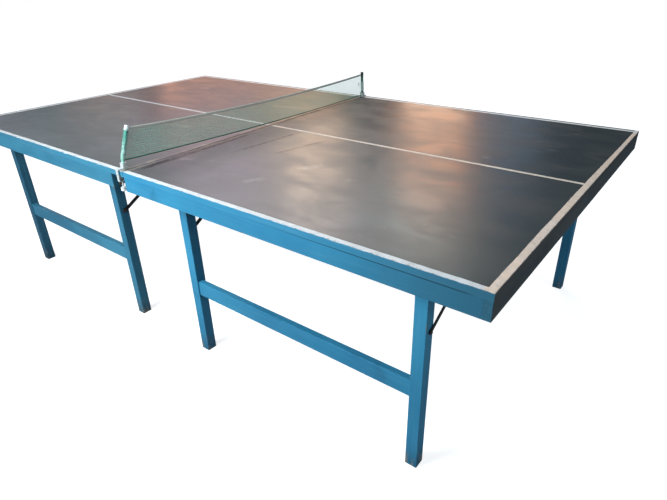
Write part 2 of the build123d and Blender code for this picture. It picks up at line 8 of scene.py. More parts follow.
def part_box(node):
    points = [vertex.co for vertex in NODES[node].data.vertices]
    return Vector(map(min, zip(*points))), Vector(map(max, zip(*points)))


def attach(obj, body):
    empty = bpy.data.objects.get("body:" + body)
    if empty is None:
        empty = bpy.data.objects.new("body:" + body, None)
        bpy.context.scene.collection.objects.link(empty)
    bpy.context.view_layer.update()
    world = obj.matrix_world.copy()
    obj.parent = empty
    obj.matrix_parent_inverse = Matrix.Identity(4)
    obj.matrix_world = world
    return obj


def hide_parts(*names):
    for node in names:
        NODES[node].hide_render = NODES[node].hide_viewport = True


# Looks of the ping pong table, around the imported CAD. Metres, in the CAD's own frame:
# +X along the table, +Y across it (front is -Y), +Z up, floor at Z = 0.
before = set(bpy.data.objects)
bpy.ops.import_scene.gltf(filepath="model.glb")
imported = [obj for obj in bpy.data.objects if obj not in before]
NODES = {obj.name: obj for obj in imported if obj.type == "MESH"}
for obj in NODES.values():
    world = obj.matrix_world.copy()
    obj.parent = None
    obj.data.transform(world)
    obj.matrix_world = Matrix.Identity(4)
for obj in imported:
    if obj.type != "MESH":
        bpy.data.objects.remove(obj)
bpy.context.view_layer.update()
RNG = random.Random(7)
X_AXIS = Vector((1, 0, 0))

# ---------------------------------------------------------------- sizes, in metres

# Widths of the painted lines. Those along the rear and the left end stand in from the edge.
SIDE_LINE = 0.017
END_LINE = 0.0205
CENTRE_LINE = 0.0155
REAR_LINE = 0.019
LINE_INSET = 0.015
# Strips beside the joint whose paint is rubbed away.
LEFT_RUB = 0.022
RIGHT_RUB = 0.012
# Netting.
NET_PITCH = 0.0075
THREAD_RADIUS = 0.00056
THREAD_SIDES = 5
KNOT_RADIUS = 0.00105
KNOT_SLIP = NET_PITCH * 0.05
NET_WAVE = 0.0022
# Tape along its top, cord along its bottom.
TAPE_HEIGHT = 0.010
TAPE_HALF = 0.0014
STITCHES = 300
STITCH_RADIUS = 0.00028
STITCH_RISE = 0.0026
CORD_STRAND_RADIUS = 0.00135
CORD_STRAND_OFFSET = 0.00115
CORD_DROP = 0.0025
CORD_PITCH = 0.013
# Posts and what is drawn over them.
POST_BEND_Z = 0.790
SLEEVE_RADIUS = 0.0078
SLEEVE_CLOTH = 0.0007
LOOP_RADIUS = SLEEVE_RADIUS + 0.0013
LOOP_ROWS = 13
TAG_WIDTH = 0.011
TAG_CLOTH = 0.0004


# ---------------------------------------------------------------- shader helpers

EVEN = (1, 1, 1)


class Shader:
    """Node tree of one material. Every input may be a socket or a plain value."""

    def __init__(self, name):
        self.material = bpy.data.materials.new(name)
        self.material.use_nodes = True
        self.tree = self.material.node_tree
        self.bsdf = self.tree.nodes["Principled BSDF"]
        self.place = self.tree.nodes.new("ShaderNodeTexCoord").outputs
        self.point = self.place["Object"]
        self.parts = None
        self.faces = None

    def feed(self, socket, value):
        """Links a socket's value, or sets a plain one."""
        if isinstance(value, bpy.types.NodeSocket):
            self.tree.links.new(value, socket)
        else:
            socket.default_value = value

    def node(self, kind, *values, **settings):
        """New node with its settings, its first inputs fed with the values."""
        made = self.tree.nodes.new("ShaderNode" + kind)
        for key, value in settings.items():
            setattr(made, key, value)
        for socket, value in zip(made.inputs, values):
            self.feed(socket, value)
        return made

    def math(self, operation, *values, clamp=False):
        return self.node("Math", *values, operation=operation, use_clamp=clamp).outputs[0]

    def vector(self, operation, *values):
        return self.node("VectorMath", *values, operation=operation).outputs[0]

    def xyz(self):
        """The point being shaded, as x, y and z."""
        if self.parts is None:
            self.parts = self.node("SeparateXYZ", self.point).outputs
        return self.parts

    def facing(self):
        """The way the surface faces, as x, y and z."""
        if self.faces is None:
            self.faces = self.node("SeparateXYZ", self.place["Normal"]).outputs
        return self.faces

    def noise(self, scale, detail=3.0, rough=0.55, stretch=EVEN, shift=(0, 0, 0), warp=0.0):
        """Cloudy noise. A small stretch along an axis draws the texture out along it."""
        at = self.vector("MULTIPLY", self.point, stretch)
        at = self.vector("ADD", at, shift)
        made = self.node("TexNoise")
        settings = {"Vector": at, "Scale": scale, "Detail": detail, "Roughness": rough, "Distortion": warp}
        for key, value in settings.items():
            self.feed(made.inputs[key], value)
        return made.outputs[0]

    def cells(self, scale, stretch, shift=(0, 0, 0)):
        """Distance to the point of the nearest cell, and that cell's own random colour."""
        made = self.node("TexVoronoi", feature="F1")
        at = self.vector("MULTIPLY", self.vector("ADD", self.point, shift), stretch)
        self.feed(made.inputs["Vector"], at)
        self.feed(made.inputs["Scale"], scale)
        return made.outputs["Distance"], made.outputs["Color"]

    def fade(self, value, low, high, first=0.0, last=1.0):
        """Smooth step: first below low, last above high."""
        made = self.node("MapRange", interpolation_type="SMOOTHSTEP")
        for i, v in enumerate((value, low, high, first, last)):
            self.feed(made.inputs[i], v)
        return made.outputs[0]

    def mix(self, factor, a, b):
        made = self.node("Mix", data_type="RGBA")
        self.feed(made.inputs[0], factor)
        self.feed(made.inputs[6], a)
        self.feed(made.inputs[7], b)
        return made.outputs[2]

    def times(self, a, b):
        return self.math("MULTIPLY", a, b)

    def bump(self, height, distance):
        made = self.node("Bump")
        self.feed(made.inputs["Distance"], distance)
        self.feed(made.inputs["Height"], height)
        return made.outputs[0]

    def finish(self, colour, roughness, normal=None, **fixed):
        """Feeds the surface shader and returns the material. Fixed inputs are named with underscores."""
        self.feed(self.bsdf.inputs["Base Color"], colour)
        self.feed(self.bsdf.inputs["Roughness"], roughness)
        if normal is not None:
            self.feed(self.bsdf.inputs["Normal"], normal)
        for key, value in fixed.items():
            self.bsdf.inputs[key.replace("_", " ")].default_value = value
        return self.material


def rgb(red, green, blue):
    return (red, green, blue, 1.0)


def scaled(colour, *shares):
    """A colour with its red, green and blue multiplied by one share or by three."""
    if len(shares) == 1:
        shares *= 3
    return rgb(*(part * share for part, share in zip(colour[:3], shares)))


def edge_distance(s, low, high):
    """Distance to the nearest edge of a box-shaped part."""
    middle = (low + high) / 2
    away = s.vector("ABSOLUTE", s.vector("SUBTRACT", s.point, tuple(middle)))
    d = s.node("SeparateXYZ", s.vector("SUBTRACT", tuple(high - middle), away)).outputs
    larger = s.math("MAXIMUM", d[0], d[1])
    smaller = s.math("MINIMUM", d[0], d[1])
    return s.math("MAXIMUM", smaller, s.math("MINIMUM", larger, d[2]))


def long_axis(low, high):
    """Number of the axis along which a part is longest."""
    size = high - low
    return max(range(3), key=lambda i: size[i])


def along(axis, fine, coarse):
    """Stretch for a texture that runs along one axis."""
    return tuple(coarse if i == axis else fine for i in range(3))


# ---------------------------------------------------------------- materials


# Paints as main colour, deeper colour and the worn timber under them.
BLUE = (rgb(0.040, 0.270, 0.440), rgb(0.026, 0.190, 0.335), rgb(0.40, 0.34, 0.26))
LEFT_BLUE = (rgb(0.052, 0.235, 0.350), rgb(0.032, 0.160, 0.255), rgb(0.36, 0.31, 0.24))
# The next blue is painted shade: the blue and its timber darkened for a leg in the table's shadow.
SHADED_BLUE = (rgb(0.030, 0.130, 0.205), rgb(0.016, 0.075, 0.125), rgb(0.22, 0.19, 0.15))
# The next blue is painted shade, for the near right corner where the light falls off.
CORNER_SHADE_BLUE = rgb(0.030, 0.125, 0.185)
BRUSHED_BLUE = rgb(0.20, 0.44, 0.56)
SEAM_SHADOW = rgb(0.008, 0.016, 0.026)
DARK = (rgb(0.046, 0.053, 0.050), rgb(0.027, 0.032, 0.033), rgb(0.24, 0.19, 0.14))


def brush_paint(node, tones, seed, floor_scuff=False, end_tone=None):
    """Hand-brushed oil paint on timber: strokes along the piece, grime, chips on the edges."""
    low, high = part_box(node)
    s = Shader("paint_" + node)
    base, deep, worn = tones
    axis = long_axis(low, high)
    shift = (seed * 3.1, seed * 1.7, seed * 2.3)
    strokes = s.noise(150, 3, 0.6, along(axis, 1.0, 0.035), shift)
    broad = s.noise(2.4, 3, 0.5, EVEN, shift)
    grain = s.noise(60, 4, 0.65, along(axis, 1.0, 0.05), shift, 0.6)
    across = 0.0
    if end_tone:
        across = s.fade(s.math("ABSOLUTE", s.facing()[1]), 0.6, 0.8)
        base = s.mix(across, base, end_tone)
        deep = s.mix(across, deep, end_tone)
    colour = s.mix(s.fade(broad, 0.30, 0.72), deep, base)
    colour = s.mix(s.fade(strokes, 0.40, 0.78, 0.0, 0.14), colour, BRUSHED_BLUE)
    grime = s.fade(s.noise(9, 5, 0.65, EVEN, shift, 0.4), 0.56, 0.80, 0.0, 0.35)
    colour = s.mix(grime, colour, rgb(0.012, 0.060, 0.100))
    edge = edge_distance(s, low, high)
    ragged = s.noise(75, 4, 0.7, along(axis, 1.0, 0.35), shift)
    reach = s.fade(ragged, 0.50, 0.76, 0.0, 0.0034)
    patchy = s.fade(s.noise(6, 3, 0.6, EVEN, shift), 0.52, 0.64)
    chip = s.math("MULTIPLY", s.math("GREATER_THAN", reach, edge), patchy, clamp=True)
    chip = s.times(chip, s.math("SUBTRACT", 1.0, across))
    if floor_scuff:
        foot = s.fade(s.xyz()[2], 0.0, 0.09, 0.8, 0.0)
        scuff = s.times(foot, s.fade(s.noise(48, 4, 0.7, (1, 1, 0.4), shift), 0.45, 0.62))
        chip = s.math("MAXIMUM", chip, scuff)
        colour = s.mix(s.times(foot, 0.5), colour, rgb(0.018, 0.030, 0.040))
    wood = s.mix(grain, worn, scaled(worn, 0.45))
    colour = s.mix(chip, colour, wood)
    height = s.math("ADD", s.times(strokes, 0.5), s.times(grain, 0.35))
    height = s.math("SUBTRACT", height, s.times(chip, 0.9))
    spoiled = s.math("ADD", chip, grime)
    roughness = s.math("ADD", s.fade(strokes, 0.3, 0.8, 0.40, 0.52), s.times(spoiled, 0.3))
    return s, colour, roughness, height


def blue_paint(node, seed, tones, floor_scuff=False, seam=False):
    """Side rails, legs and stretchers. The seam is the opened joint over the right front rail; where it is
    asked for, the rail also takes painted shade toward its right corner.
    """
    s, colour, roughness, height = brush_paint(node, tones, seed, floor_scuff)
    if seam:
        x, _, z = s.xyz()
        # the rail darkens toward its right corner: painted shade, where the light falls off
        colour = s.mix(painted_corner_shade(s, x), colour, CORNER_SHADE_BLUE)
        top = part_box(node)[1].z
        gap = s.fade(s.math("ABSOLUTE", s.math("SUBTRACT", z, top)), 0.0004, 0.0016, 1.0, 0.0)
        gap = s.times(seam_mask(s, x), gap)
        colour = s.mix(gap, colour, SEAM_SHADOW)
        height = s.math("SUBTRACT", height, s.times(gap, 2.0))
    return s.finish(colour, roughness, s.bump(height, 0.0006), Specular_IOR_Level=0.36)


def painted_corner_shade(s, x):
    """Share of painted shade on the near side, which grows toward the table's right corner as the light
    falls off there.
    """
    return s.fade(x, 0.76, 1.42, 0.0, 0.84)


def seam_mask(s, x):
    """Where the joint between the board's edge and the front rail has opened."""
    wander = s.noise(7, 3, 0.6, (1, 0, 0), (4, 0, 0))
    reach = s.fade(x, 0.55, 1.02, 0.10, 1.0)
    return s.times(s.times(reach, s.fade(x, 1.30, 1.335, 1.0, 0.0)), s.fade(wander, 0.28, 0.42))


def dark_paint(node, seed):
    """The table top's own paint on an end rail, whose two ends were painted with the side rails, in the
    blue darkened as painted shade.
    """
    s, colour, roughness, height = brush_paint(node, DARK, seed, end_tone=CORNER_SHADE_BLUE)
    return s.finish(colour, roughness, s.bump(height, 0.0006), Specular_IOR_Level=0.36)


def bare_wood(node, seed):
    """Unpainted softwood with grain along its length, darkened with age."""
    low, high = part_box(node)
    s = Shader("wood_" + node)
    axis = long_axis(low, high)
    shift = (seed * 2.1, seed * 1.3, seed * 0.7)
    rings = s.noise(22, 3, 0.5, along(axis, 1.0, 0.05), shift, 1.6)
    bands = s.math("PINGPONG", s.times(rings, 9.0), 0.5)
    fibre = s.noise(420, 2, 0.6, along(axis, 1.0, 0.03), shift)
    stain = s.noise(3, 4, 0.6, EVEN, shift)
    colour = s.mix(s.times(bands, 1.7), rgb(0.42, 0.27, 0.14), rgb(0.23, 0.13, 0.06))
    colour = s.mix(s.fade(fibre, 0.35, 0.8, 0.0, 0.5), colour, rgb(0.50, 0.36, 0.22))
    colour = s.mix(s.fade(stain, 0.45, 0.75, 0.0, 0.6), colour, rgb(0.12, 0.08, 0.05))
    height = s.math("ADD", s.times(bands, 0.6), s.times(fibre, 0.5))
    roughness = s.fade(fibre, 0.3, 0.8, 0.62, 0.8)
    return s.finish(colour, roughness, s.bump(height, 0.0005), Specular_IOR_Level=0.3)


# Marks on the top, as start (x, y), end (x, y), half width and strength. The dark streaks lie parallel to
# the net and are painted shadows of the net, the two nearest the joint partly grime as well.
SHADOW_STREAKS = (
    ((0.030, -0.74), (0.036, -0.52), 0.022, 0.90),
    ((0.036, -0.60), (0.026, -0.10), 0.014, 0.85),
    ((0.160, -0.42), (0.196, 0.02), 0.011, 0.75),
    ((0.305, -0.34), (0.372, -0.04), 0.013, 0.60),
)
SMEARS = (
    ((-0.300, 0.300), (-0.120, 0.340), 0.026, 0.50),
    ((-0.410, -0.240), (-0.262, -0.215), 0.020, 0.40),
    ((0.500, -0.400), (0.560, -0.300), 0.026, 0.36),
    ((0.430, -0.600), (0.480, -0.520), 0.022, 0.30),
    ((-1.020, 0.420), (-0.960, 0.470), 0.026, 0.60),
    ((0.050, -0.560), (0.110, -0.520), 0.016, 0.34),
)
SHADOW_STREAK_COLOUR = rgb(0.014, 0.014, 0.016)
SMEAR_COLOUR = rgb(0.24, 0.23, 0.21)


def streak(s, first, last, width, stray):
    """Soft mark on the table top along a straight run from first to last."""
    span = Vector(last) - Vector(first)
    length = span.length
    along_x, along_y = span / length
    x, y, _ = s.xyz()
    dx = s.math("SUBTRACT", x, first[0])
    dy = s.math("SUBTRACT", y, first[1])
    run = s.math("ADD", s.times(dx, along_x), s.times(dy, along_y))
    off = s.math("ABSOLUTE", s.math("SUBTRACT", s.times(dx, along_y), s.times(dy, along_x)))
    off = s.math("ADD", off, s.times(stray, 0.03))
    inside = s.times(s.fade(run, 0.0, length * 0.25), s.fade(run, length * 0.75, length, 1.0, 0.0))
    return s.times(inside, s.fade(off, width * 0.3, width, 1.0, 0.0))


def marks_over(s, side, marks, ripple, shift):
    """Strength of each mark that lies on one half, with ragged outlines."""
    ragged = s.fade(s.noise(46, 4, 0.7, (1, 0.5, 1), shift), 0.28, 0.50)
    here = [mark for mark in marks if mark[0][0] * side > 0]
    return [
        s.times(s.times(streak(s, first, last, width, ripple), ragged), depth)
        for first, last, width, depth in here
    ]


def board_ground(s, shift):
    """Worn dark paint with roller marks, and the clouding that its gloss follows."""
    broad = s.noise(1.5, 4, 0.55, (0.8, 1.2, 1), shift, 0.8)
    cloud = s.noise(7, 5, 0.6, (0.7, 1.2, 1), shift, 0.5)
    roller = s.noise(26, 3, 0.6, (0.10, 1, 1), shift)
    colour = s.mix(s.fade(broad, 0.30, 0.70), rgb(0.031, 0.040, 0.042), rgb(0.052, 0.056, 0.055))
    colour = s.mix(s.fade(cloud, 0.42, 0.75, 0.0, 0.55), colour, rgb(0.070, 0.070, 0.066))
    colour = s.mix(s.fade(roller, 0.45, 0.75, 0.0, 0.30), colour, rgb(0.026, 0.036, 0.040))
    return colour, cloud


def ball_scuffs(s, shift):
    """Chalky ball marks and drag scuffs."""
    distance, tint = s.cells(11.0, (1.0, 1.5, 1.0), shift)
    chosen = s.math("GREATER_THAN", s.node("SeparateXYZ", tint).outputs[0], 0.80)
    blotch = s.times(s.fade(distance, 0.10, 0.34, 1.0, 0.0), chosen)
    blotch = s.times(blotch, s.fade(s.noise(60, 4, 0.7, (0.4, 1, 1), shift), 0.46, 0.66))
    drag = s.fade(s.noise(34, 4, 0.65, (0.16, 1.2, 1), shift, 0.6), 0.63, 0.76)
    drag = s.times(drag, s.fade(s.noise(3.1, 3, 0.6, EVEN, shift), 0.50, 0.64))
    return s.math("MAXIMUM", s.times(blotch, 0.42), s.times(drag, 0.50))


def hairlines(s, shift):
    """Fine scratches, both along and across the table."""
    lengthwise = s.fade(s.noise(210, 2, 0.5, (0.03, 1, 1), shift, 1.5), 0.72, 0.76)
    crosswise = s.fade(s.noise(190, 2, 0.5, (1, 0.05, 1), shift, 2.0), 0.73, 0.77)
    fine = s.math("MAXIMUM", lengthwise, crosswise)
    return s.times(fine, s.fade(s.noise(5, 3, 0.6, EVEN, shift), 0.45, 0.6, 0.0, 0.35))


def board_gaps(s, side, low, high):
    """Distances inward from a board's outer end, its front edge and its rear edge."""
    x, y, _ = s.xyz()
    end_gap = s.math("SUBTRACT", abs(high.x if side > 0 else low.x), s.math("ABSOLUTE", x))
    return end_gap, s.math("SUBTRACT", y, low.y), s.math("SUBTRACT", high.y, y)


def inward_of(s, gap, start, stray):
    """Where a point is further from an edge than start."""
    return s.math("GREATER_THAN", s.math("ADD", gap, s.times(stray, 0.8)), start - 0.0012)


def stripe(s, gap, width, start, stray):
    """Line of one width beside an edge, beginning at start from it."""
    line = s.math("LESS_THAN", s.math("ADD", gap, stray), s.math("ADD", width, start))
    return s.times(line, inward_of(s, gap, start, stray)) if start else line


def painted_lines(s, side, gaps, stray):
    """The half's share of the lines, and its centre line on its own."""
    end_gap, front_gap, rear_gap = gaps
    y = s.xyz()[1]
    front = stripe(s, front_gap, SIDE_LINE, 0.0, stray)
    rear = stripe(s, rear_gap, REAR_LINE, LINE_INSET, stray)
    if side > 0:
        end = stripe(s, end_gap, s.fade(y, -0.2, 0.75, END_LINE, END_LINE * 0.72), 0.0, stray)
    else:
        end = stripe(s, end_gap, REAR_LINE, LINE_INSET, stray)
    wander = s.math("ADD", s.math("ABSOLUTE", y), s.times(stray, 0.55))
    centre = s.math("LESS_THAN", wander, CENTRE_LINE / 2)
    lines = s.math("MAXIMUM", s.math("MAXIMUM", front, rear), s.math("MAXIMUM", end, centre))
    if side < 0:
        for gap in (end_gap, rear_gap):
            lines = s.times(lines, inward_of(s, gap, LINE_INSET, stray))
    return lines, centre


def line_colour(s, side, gaps, centre, cloud, shift):
    """White line paint: the right half's end line carries painted warm light and its centre line is tinted
    tan; paler along the far edges.
    """
    end_gap, _, rear_gap = gaps
    white = s.mix(s.noise(13, 3, 0.6, EVEN, shift), rgb(0.62, 0.60, 0.57), rgb(0.75, 0.78, 0.80))
    far = s.fade(rear_gap, 0.045, 0.060, 1.0, 0.0)
    if side > 0:
        # painted warm light on the right half's end line
        warm_light = s.times(s.fade(end_gap, 0.020, 0.034, 1.0, 0.0), s.fade(cloud, 0.30, 0.60, 0.75, 1.0))
        white = s.mix(warm_light, white, rgb(0.82, 0.62, 0.48))
        white = s.mix(s.times(centre, 0.7), white, rgb(0.80, 0.62, 0.46))
    else:
        far = s.math("MAXIMUM", far, s.fade(end_gap, 0.045, 0.060, 1.0, 0.0))
    return s.mix(far, white, rgb(0.88, 0.84, 0.78))


def line_cover(s, lines, shift):
    """How much of the line paint is left where the lines are."""
    bare = s.fade(s.noise(95, 4, 0.7, (0.6, 1, 1), shift), 0.60, 0.70)
    bare = s.times(bare, s.fade(s.noise(8, 3, 0.6, EVEN, shift), 0.48, 0.66))
    return s.times(lines, s.math("SUBTRACT", 1.0, s.times(bare, 0.60)))


def rim_nicks(s, gaps, shift):
    """Places along the rim where the sharp edge has lost its paint."""
    end_gap, front_gap, rear_gap = gaps
    rim = s.math("MINIMUM", s.math("MINIMUM", front_gap, rear_gap), end_gap)
    nick = s.fade(s.noise(120, 4, 0.7, EVEN, shift), 0.50, 0.62)
    nick = s.times(nick, s.fade(rim, 0.0006, 0.0030, 1.0, 0.0))
    return s.times(nick, s.fade(s.noise(4, 3, 0.6, EVEN, shift), 0.42, 0.58))


def joint_wear(s, side, stray, shift):
    """Rubbed paint beside the joint of the two halves, and the grime right in it."""
    joint = s.math("ADD", s.math("ABSOLUTE", s.xyz()[0]), s.times(stray, 0.8))
    width = RIGHT_RUB if side > 0 else LEFT_RUB
    rubbed = s.fade(s.noise(11, 5, 0.7, EVEN, shift), 0.42, 0.60, 0.10, 0.70)
    rubbed = s.times(rubbed, s.fade(joint, width * 0.6, width * 1.4, 1.0, 0.0))
    soot = s.fade(s.noise(14, 4, 0.6, EVEN, shift), 0.30, 0.55, 0.35, 0.95)
    soot = s.times(soot, s.fade(joint, 0.0015, 0.0060, 1.0, 0.0))
    return rubbed, soot


def board_top(s, side, gaps, shift):
    """Playing surface: its colour, roughness and height, and where its sheen is dulled."""
    ground, cloud = board_ground(s, shift)
    scuff = ball_scuffs(s, shift)
    colour = s.mix(scuff, ground, rgb(0.26, 0.25, 0.23))
    fine = hairlines(s, shift)
    colour = s.mix(fine, colour, rgb(0.16, 0.16, 0.15))
    # the lines' edges wander as a hand-held brush does
    wobble = s.math("SUBTRACT", s.noise(5.5, 3, 0.65, (1, 1, 0), shift), 0.5)
    ripple = s.math("SUBTRACT", s.noise(55, 3, 0.6, (1, 1, 0), shift), 0.5)
    stray = s.math("ADD", s.times(wobble, 0.0055), s.times(ripple, 0.0024))
    lines, centre = painted_lines(s, side, gaps, stray)
    cover = line_cover(s, lines, shift)
    thin = s.fade(s.noise(40, 4, 0.6, EVEN, shift), 0.25, 0.75, 0.80, 1.0)
    colour = s.mix(s.times(cover, thin), colour, line_colour(s, side, gaps, centre, cloud, shift))
    colour = s.mix(rim_nicks(s, gaps, shift), colour, rgb(0.20, 0.15, 0.10))
    rubbed, soot = joint_wear(s, side, stray, shift)
    colour = s.mix(rubbed, colour, rgb(0.30, 0.25, 0.17))
    colour = s.mix(soot, colour, rgb(0.012, 0.012, 0.012))
    dull = s.times(soot, 0.9)
    # dark streaks: painted shadows of the net, their sheen cut as well
    for mark in marks_over(s, side, SHADOW_STREAKS, ripple, shift):
        colour = s.mix(mark, colour, SHADOW_STREAK_COLOUR)
        dull = s.math("MAXIMUM", dull, mark)
    for mark in marks_over(s, side, SMEARS, ripple, shift):
        colour = s.mix(mark, colour, SMEAR_COLOUR)
    speck = s.noise(900, 2, 0.5, EVEN, shift)
    height = s.math("ADD", s.times(speck, 0.22), s.times(cloud, 0.5))
    height = s.math("ADD", s.math("SUBTRACT", height, s.times(fine, 0.5)), s.times(cover, 0.55))
    chalky = s.times(s.math("MAXIMUM", scuff, cover), 0.22)
    roughness = s.math("ADD", s.fade(cloud, 0.3, 0.75, 0.30, 0.42), chalky)
    return colour, roughness, height, dull


def board_edge(s, side, low, high, strokes, shift):
    """Painted edges of a board: blue along the side and dark at the end, with runs of line paint."""
    x, _, z = s.xyz()
    near, deep, _ = BLUE if side > 0 else LEFT_BLUE
    blue = s.mix(s.noise(2.6, 3, 0.5, EVEN, shift), deep, near)
    blue = s.mix(s.fade(strokes, 0.4, 0.8, 0.0, 0.16), blue, BRUSHED_BLUE)
    if side > 0:
        # the side edge darkens toward the right corner: painted shade, as on the front rail
        blue = s.mix(painted_corner_shade(s, x), blue, CORNER_SHADE_BLUE)
    dark = s.mix(strokes, rgb(0.030, 0.035, 0.034), rgb(0.056, 0.061, 0.057))
    colour = s.mix(s.fade(s.math("ABSOLUTE", s.facing()[0]), 0.6, 0.8), blue, dark)
    lip = s.math("SUBTRACT", 1.0, s.fade(s.math("SUBTRACT", high.z, z), 0.0008, 0.0026))
    lip = s.times(s.fade(s.noise(30, 3, 0.6, (1, 1, 0), shift), 0.36, 0.62), lip)
    colour = s.mix(s.times(lip, 0.85), colour, rgb(0.78, 0.79, 0.79))
    if side > 0:
        gap = s.fade(s.math("SUBTRACT", z, low.z), 0.0004, 0.0012, 1.0, 0.0)
        colour = s.mix(s.times(seam_mask(s, x), gap), colour, SEAM_SHADOW)
    return colour


def chipboard(s, shift):
    """Raw, stained chipboard of a board's underside."""
    flake, _ = s.cells(150.0, (1.0, 1.6, 1.0))
    colour = s.mix(flake, rgb(0.33, 0.24, 0.15), rgb(0.15, 0.10, 0.06))
    stain = s.fade(s.noise(4, 4, 0.6, EVEN, shift), 0.4, 0.7, 0.0, 0.5)
    return s.mix(stain, colour, rgb(0.20, 0.16, 0.11))


def board_paint(node, side):
    """Board: worn semi-gloss top with hand-painted lines, painted edges, raw underside."""
    low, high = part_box(node)
    s = Shader("board_" + node)
    seed = 3.0 if side > 0 else 8.0
    shift = (seed, seed * 0.6, 0)
    top, top_rough, top_height, dull = board_top(s, side, board_gaps(s, side, low, high), shift)
    strokes = s.noise(140, 3, 0.6, (0.04, 0.04, 1), shift)
    edge = board_edge(s, side, low, high, strokes, shift)
    facing_up = s.facing()[2]
    is_top = s.fade(facing_up, 0.25, 0.55)
    is_under = s.fade(facing_up, -0.7, -0.4, 1.0, 0.0)
    not_top = s.math("SUBTRACT", 1.0, is_top)
    colour = s.mix(is_top, s.mix(is_under, edge, chipboard(s, shift)), top)
    roughness = s.math("ADD", s.times(is_top, top_rough), s.times(not_top, 0.52))
    height = s.math("ADD", s.times(is_top, top_height), s.times(not_top, strokes))
    # sheen cut where the joint holds grime and along the painted net shadows
    s.feed(s.bsdf.inputs["Specular IOR Level"], s.math("SUBTRACT", 0.62, s.times(dull, 0.55)))
    return s.finish(colour, roughness, s.bump(height, 0.00035))


def steel(name, base, rust_from, rough):
    """Flat bar and small hardware: dull steel with scratches and some rust."""
    s = Shader(name)
    brushed = s.noise(260, 3, 0.6, (1, 0.12, 1))
    patch = s.noise(55, 4, 0.65)
    rust = s.fade(patch, rust_from, rust_from + 0.10)
    pits = s.noise(600, 3, 0.6)
    colour = s.mix(s.fade(brushed, 0.3, 0.75), scaled(base, 0.6), base)
    colour = s.mix(rust, colour, s.mix(pits, rgb(0.10, 0.035, 0.012), rgb(0.22, 0.085, 0.03)))
    s.feed(s.bsdf.inputs["Metallic"], s.fade(rust, 0.0, 1.0, 0.85, 0.1))
    height = s.math("ADD", s.times(brushed, 0.4), s.times(pits, rust))
    return s.finish(colour, s.fade(rust, 0.0, 1.0, rough, 0.85), s.bump(height, 0.0002))


def enamel(name, base, chip_from):
    """White stove enamel on steel, yellowed and chipped."""
    s = Shader(name)
    cloud = s.noise(38, 4, 0.6)
    chip = s.fade(s.noise(210, 4, 0.7), chip_from, chip_from + 0.04)
    colour = s.mix(s.fade(cloud, 0.35, 0.75), base, scaled(base, 0.86, 0.82, 0.72))
    colour = s.mix(chip, colour, rgb(0.11, 0.06, 0.035))
    s.feed(s.bsdf.inputs["Metallic"], s.times(chip, 0.5))
    height = s.math("SUBTRACT", s.times(cloud, 0.6), chip)
    roughness = s.math("ADD", s.fade(cloud, 0.3, 0.8, 0.30, 0.42), s.times(chip, 0.35))
    return s.finish(colour, roughness, s.bump(height, 0.0003), Coat_Weight=0.25)


def moulded(name, base, grime, rough=0.38):
    """Moulded plastic with patches of handling grime."""
    s = Shader(name)
    cloud = s.noise(70, 4, 0.6)
    pebble = s.noise(1500, 2, 0.5)
    colour = s.mix(s.fade(cloud, 0.42, 0.75, 0.0, 0.6), base, grime)
    height = s.math("ADD", s.times(pebble, 0.35), s.times(cloud, 0.4))
    return s.finish(colour, s.fade(cloud, 0.3, 0.8, rough, rough + 0.2), s.bump(height, 0.0002))


def caps_material():
    """The front cap is white and the rear one is dark, both moulded."""
    s = Shader("moulded_caps")
    cloud = s.noise(90, 4, 0.6)
    rear = s.math("GREATER_THAN", s.xyz()[1], 0.0)
    soiled = s.fade(cloud, 0.42, 0.75, 0.0, 0.6)
    white = s.mix(soiled, rgb(0.82, 0.86, 0.90), rgb(0.55, 0.55, 0.50))
    dark = s.mix(soiled, rgb(0.030, 0.034, 0.036), rgb(0.060, 0.060, 0.055))
    height = s.math("ADD", s.times(s.noise(1500, 2, 0.5), 0.35), s.times(cloud, 0.4))
    roughness = s.fade(cloud, 0.3, 0.8, 0.30, 0.5)
    return s.finish(s.mix(rear, white, dark), roughness, s.bump(height, 0.0002))


def fabric(name, base, shade, weave_scale, rough, sheen):
    """Woven or twisted textile: two crossing thread directions, soiled in patches."""
    s = Shader(name)
    warp = s.noise(weave_scale, 2, 0.5, (1, 1, 0.12))
    weft = s.noise(weave_scale, 2, 0.5, (1, 0.12, 1))
    soil = s.noise(17, 4, 0.65)
    weave = s.math("MAXIMUM", warp, weft)
    colour = s.mix(s.fade(weave, 0.40, 0.72), shade, base)
    colour = s.mix(s.fade(soil, 0.50, 0.80, 0.0, 0.5), colour, scaled(base, 0.62, 0.60, 0.52))
    roughness = s.fade(soil, 0.3, 0.8, rough, rough + 0.1)
    return s.finish(colour, roughness, s.bump(weave, 0.0004), Sheen_Weight=sheen)


def sleeve_cloth(name, upper, lower, shade, low_z, high_z):
    """Cloth pushed over a post: paler low down, which is a painted highlight, and darker in its creases,
    which is painted shade.
    """
    s = Shader(name)
    ribs = s.noise(190, 3, 0.6, (0.25, 0.25, 1))
    blot = s.noise(60, 4, 0.65)
    rise = s.math("ADD", s.xyz()[2], s.times(s.math("SUBTRACT", blot, 0.5), 0.045))
    middle = (low_z + high_z) / 2
    # paler low down: painted highlight
    colour = s.mix(s.fade(rise, middle - 0.012, middle + 0.030), lower, upper)
    # darker in the creases: painted shade
    colour = s.mix(s.fade(ribs, 0.50, 0.68, 0.0, 0.65), colour, shade)
    weave = s.noise(1500, 2, 0.5)
    height = s.math("ADD", ribs, s.times(weave, 0.25))
    return s.finish(colour, s.fade(blot, 0.3, 0.8, 0.50, 0.72), s.bump(height, 0.0008), Sheen_Weight=0.15)


def put(node, material):
    """Gives a CAD node one material in place of what it came with."""
    slots = NODES[node].data.materials
    slots.clear()
    slots.append(material)


# ---------------------------------------------------------------- mesh helpers


